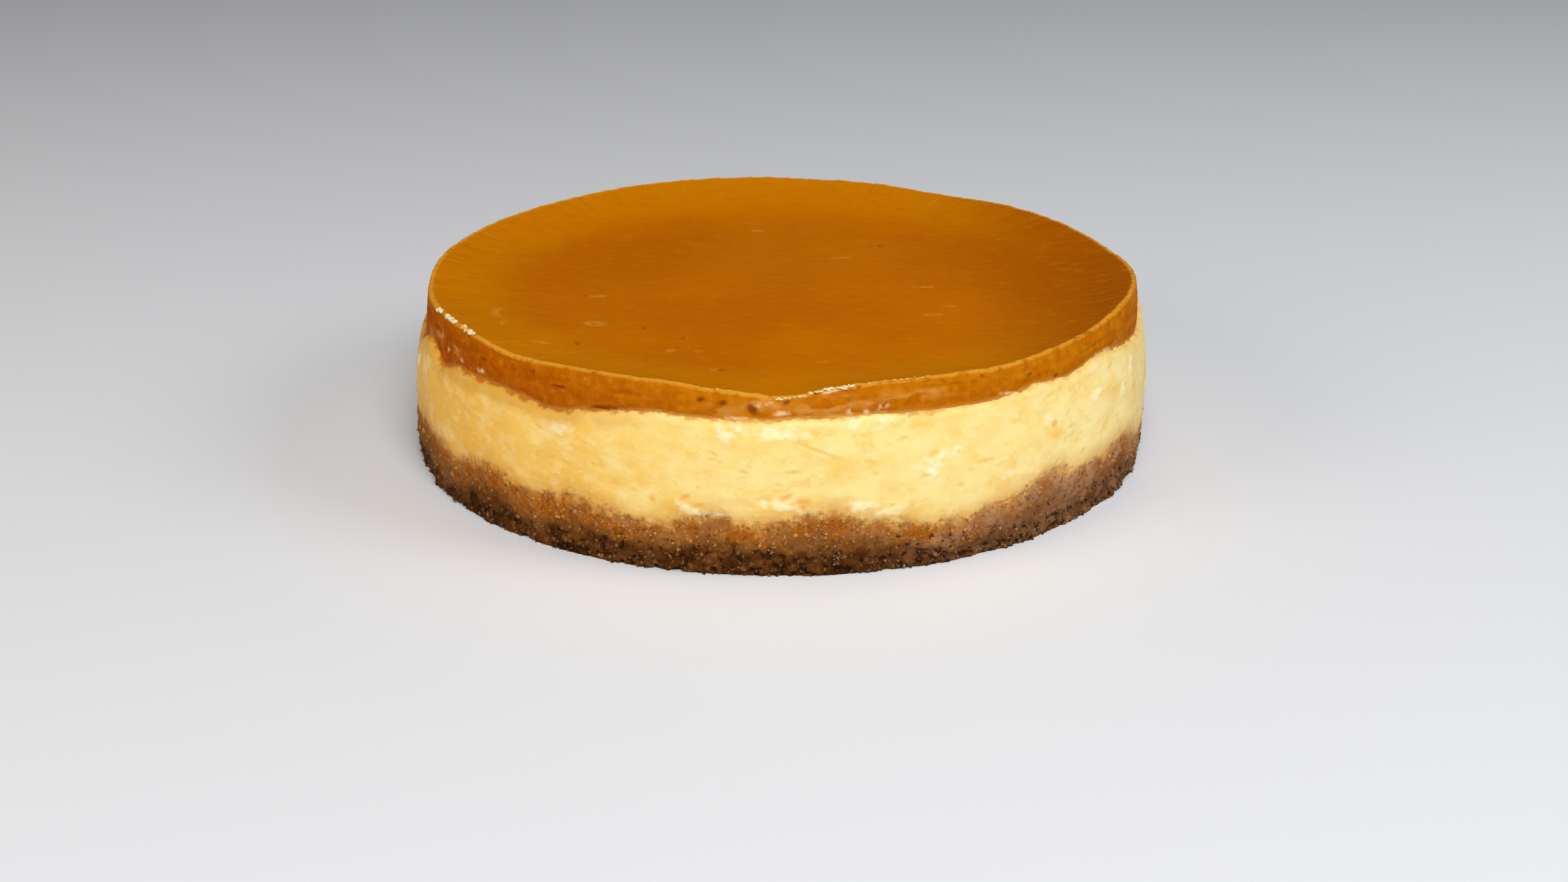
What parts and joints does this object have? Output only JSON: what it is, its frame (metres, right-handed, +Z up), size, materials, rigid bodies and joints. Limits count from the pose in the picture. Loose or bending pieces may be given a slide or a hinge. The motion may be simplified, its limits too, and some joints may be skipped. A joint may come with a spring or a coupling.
{
  "type": "baked cheesecake",
  "caption": "Whole round baked cheesecake: a crumb base, a pale cheese layer and a dished amber pumpkin layer with a thin uneven rim.",
  "frame": {"origin": "centre of the underside, on the surface that the cake rests on", "axes": "+Z up through the layers, -Y towards the front of the cake as pictured, +X to its right"},
  "size_m": [0.2286, 0.2288, 0.0562],
  "materials": {
    "biscuit_crumb": "rough pressed crumbs",
    "baked_cheese": "soft satin, faint scrapes and pores",
    "baked_pumpkin": "smooth satin skin"
  },
  "bodies": {
    "root": {"biscuit_base": "biscuit_crumb", "cheese_layer": "baked_cheese", "pumpkin_layer": "baked_pumpkin"}
  },
  "joints": []
}
